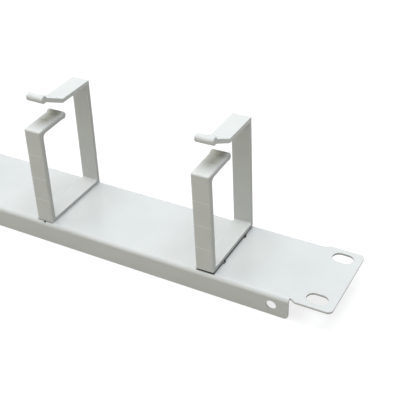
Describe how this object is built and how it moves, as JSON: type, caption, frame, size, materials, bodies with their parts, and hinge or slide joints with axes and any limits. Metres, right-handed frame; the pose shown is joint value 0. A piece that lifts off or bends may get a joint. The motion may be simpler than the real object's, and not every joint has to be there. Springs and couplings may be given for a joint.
{
  "type": "rack cable management panel",
  "caption": "Folded steel rack panel with slotted flat ears and a row of open snap-in plastic cable rings across its face.",
  "frame": {"origin": "middle of the panel, at the height of the flange edges it can stand on", "axes": "+X along the panel's length, +Y across its width, +Z out of the face the way the rings point"},
  "size_m": [0.4826, 0.044, 0.0791],
  "materials": {
    "powder_coat": "light grey semi-gloss powder coat, faint orange peel",
    "ring_plastic": "light grey moulded plastic, satin"
  },
  "bodies": {
    "root": {"panel": "powder_coat", "cable_ring_1": "ring_plastic", "cable_ring_2": "ring_plastic", "cable_ring_3": "ring_plastic", "cable_ring_4": "ring_plastic", "cable_ring_5": "ring_plastic"}
  },
  "joints": []
}
